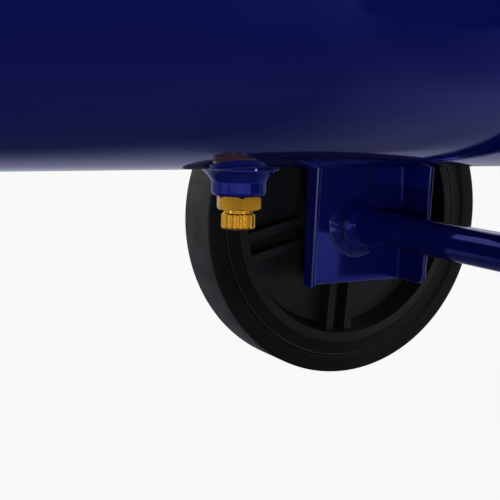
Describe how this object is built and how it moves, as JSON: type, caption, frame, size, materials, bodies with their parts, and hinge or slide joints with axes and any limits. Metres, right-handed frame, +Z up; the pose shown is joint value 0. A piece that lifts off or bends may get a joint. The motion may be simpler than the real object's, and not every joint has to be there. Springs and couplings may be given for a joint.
{
  "type": "wheeled sprayer cart",
  "caption": "Horizontal pressure tank for spraying, on solid wheels and a rest foot, with push handle, screw drain, filler cap, outlet valve, gauge and safety valve.",
  "frame": {"origin": "on the floor, under the middle of the cart's length and width", "axes": "+Z up, +X along the tank to the wheel end, +Y to the left of a person who stands at the handle"},
  "size_m": [0.8746, 0.3926, 0.656],
  "materials": {
    "tank_paint": "gloss dark blue paint over steel",
    "brass": "machined, bare",
    "tyre": "matt black, fine radial hatching on the sidewall",
    "black_plastic": "satin black, moulded",
    "black_rubber": "matt black",
    "zinc_steel": "bright zinc plate",
    "chrome_steel": "polished",
    "white_plastic": "plain white",
    "black_enamel": "black enamel",
    "needle_aluminium": "painted black",
    "clear_lens": "clear"
  },
  "bodies": {
    "tank": {"tank_shell": "tank_paint", "wheel_end_head": "tank_paint", "handle_end_head": "tank_paint", "drain_bung": "tank_paint", "filler_neck": "tank_paint", "outlet_socket": "tank_paint", "gauge_socket": "tank_paint", "left_wheel_bracket": "tank_paint", "right_wheel_bracket": "tank_paint", "cross_tube": "tank_paint", "axle_rod": "zinc_steel", "axle_washers": "zinc_steel", "axle_caps": "zinc_steel", "rest_foot": "tank_paint", "foot_pads": "black_rubber", "foot_bolts": "zinc_steel", "foot_nuts": "zinc_steel", "handle_sockets": "tank_paint", "push_handle": "tank_paint", "handle_grip": "black_rubber", "handle_screws": "zinc_steel", "drain_valve_body": "brass", "dip_tube": "zinc_steel", "outlet_elbow": "brass", "outlet_valve_body": "brass", "valve_seats": "white_plastic", "hose_tail": "brass", "fittings_block": "brass", "gauge_case": "black_enamel", "gauge_dial": "white_plastic", "gauge_lens": "clear_lens", "safety_valve_body": "brass", "safety_spring": "zinc_steel", "air_plug": "zinc_steel"},
    "left_wheel": {"left_tyre": "tyre", "left_rim": "black_plastic", "left_bush": "black_plastic"},
    "right_wheel": {"right_tyre": "tyre", "right_rim": "black_plastic", "right_bush": "black_plastic"},
    "drain_stem_part": {"drain_stem": "brass"},
    "drain_knob_part": {"drain_knob": "brass"},
    "cap_seal": {"cap_gasket": "black_rubber"},
    "screw_cap": {"filler_cap": "black_plastic"},
    "outlet_plug": {"outlet_lever": "tank_paint", "outlet_ball": "chrome_steel", "outlet_stem": "zinc_steel", "lever_nut": "zinc_steel"},
    "needle": {"gauge_needle": "needle_aluminium"},
    "safety_plunger": {"safety_stem": "brass"},
    "ring_pull": {"pull_ring": "zinc_steel"},
    "air_poppet": {"inlet_poppet": "brass"}
  },
  "joints": [
    {"name": "left_wheel_spin", "type": "hinge", "parent": "tank", "child": "left_wheel", "pos_m": [0.2527, 0.167, 0.1], "axis": [0, 1, 0], "continuous": true},
    {"name": "right_wheel_spin", "type": "hinge", "parent": "tank", "child": "right_wheel", "pos_m": [0.2527, -0.167, 0.1], "axis": [0, 1, 0], "continuous": true},
    {"name": "drain_stem_slide", "type": "slide", "parent": "tank", "child": "drain_stem_part", "axis": [0, 0, -1], "range_m": [0, 0.002]},
    {"name": "drain_knob_turn", "type": "hinge", "parent": "drain_stem_part", "child": "drain_knob_part", "pos_m": [0.0913, 0, 0.119], "axis": [0, 0, -1], "range_deg": [0, 720]},
    {"name": "cap_seal_lift", "type": "slide", "parent": "tank", "child": "cap_seal", "axis": [0, 0, 1], "range_m": [0, 0.006]},
    {"name": "filler_cap_turn", "type": "hinge", "parent": "cap_seal", "child": "screw_cap", "pos_m": [0.1777, 0, 0.515], "axis": [0, 0, 1], "range_deg": [0, 360]},
    {"name": "outlet_lever_turn", "type": "hinge", "parent": "tank", "child": "outlet_plug", "pos_m": [0.32773, 0, 0.54], "axis": [0, 0, -1], "range_deg": [0, 90]},
    {"name": "gauge_needle_sweep", "type": "hinge", "parent": "tank", "child": "needle", "pos_m": [-0.05133, 0, 0.51273], "axis": [1, 0, 0], "range_deg": [0, 270], "stiffness_Nm_per_rad": 0.0002, "springref_deg": -11.46},
    {"name": "safety_stem_lift", "type": "slide", "parent": "tank", "child": "safety_plunger", "axis": [0, 0, 1], "range_m": [0, 0.003], "stiffness_N_per_m": 1500, "springref_m": -0.006, "deforming": ["safety_spring"]},
    {"name": "pull_ring_swing", "type": "hinge", "parent": "safety_plunger", "child": "ring_pull", "pos_m": [-0.0123, 0, 0.56226], "axis": [0, 1, 0], "range_deg": [0, 306]},
    {"name": "inlet_poppet_slide", "type": "slide", "parent": "tank", "child": "air_poppet", "axis": [0, 1, 0], "range_m": [0, 0.002], "stiffness_N_per_m": 100, "springref_m": -0.003}
  ],
  "couplings": [
    {"joint": "drain_stem_slide", "follows": "drain_knob_turn", "m_per_rad": 0.00015915},
    {"joint": "cap_seal_lift", "follows": "filler_cap_turn", "m_per_rad": 0.00095492}
  ]
}
